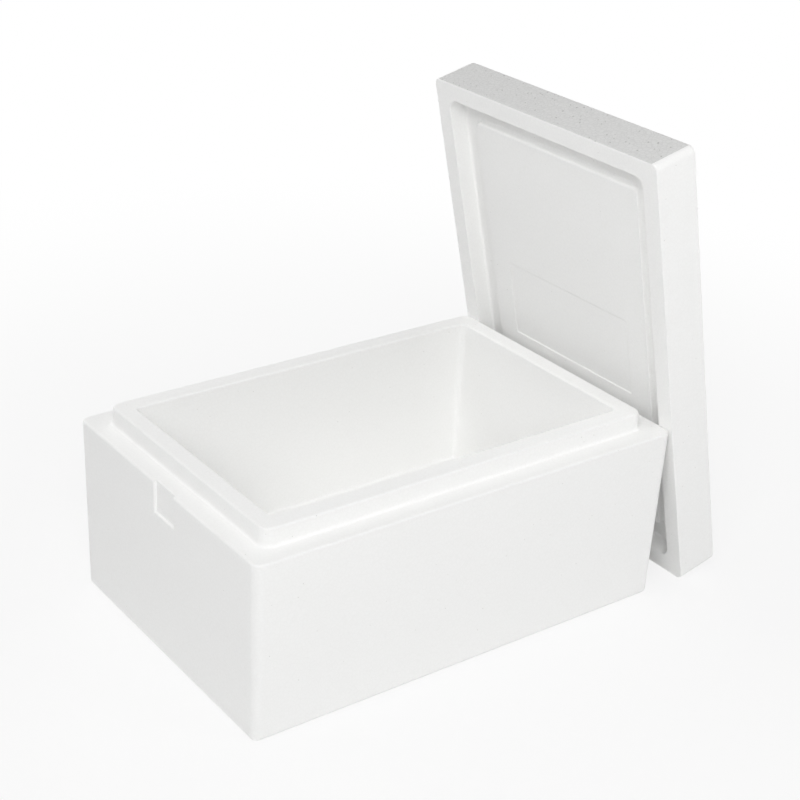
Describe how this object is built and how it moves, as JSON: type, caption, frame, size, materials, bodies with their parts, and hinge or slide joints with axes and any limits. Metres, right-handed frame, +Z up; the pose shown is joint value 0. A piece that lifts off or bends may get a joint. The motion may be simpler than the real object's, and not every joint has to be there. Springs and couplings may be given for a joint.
{
  "type": "insulated foam box with lid",
  "caption": "Rectangular moulded foam box with thick walls, a raised lip around its cavity and a finger notch, its grooved lid leaning on one end.",
  "frame": {"origin": "centre of the box's base, on the surface that it stands on", "axes": "+X along the box towards the end that the lid leans on, +Y across the box, +Z up"},
  "size_m": [0.4763, 0.267, 0.3973],
  "materials": {
    "box_foam": "matte",
    "lid_foam": "matte"
  },
  "bodies": {
    "root": {"box_body": "box_foam", "lid": "lid_foam"}
  },
  "joints": []
}
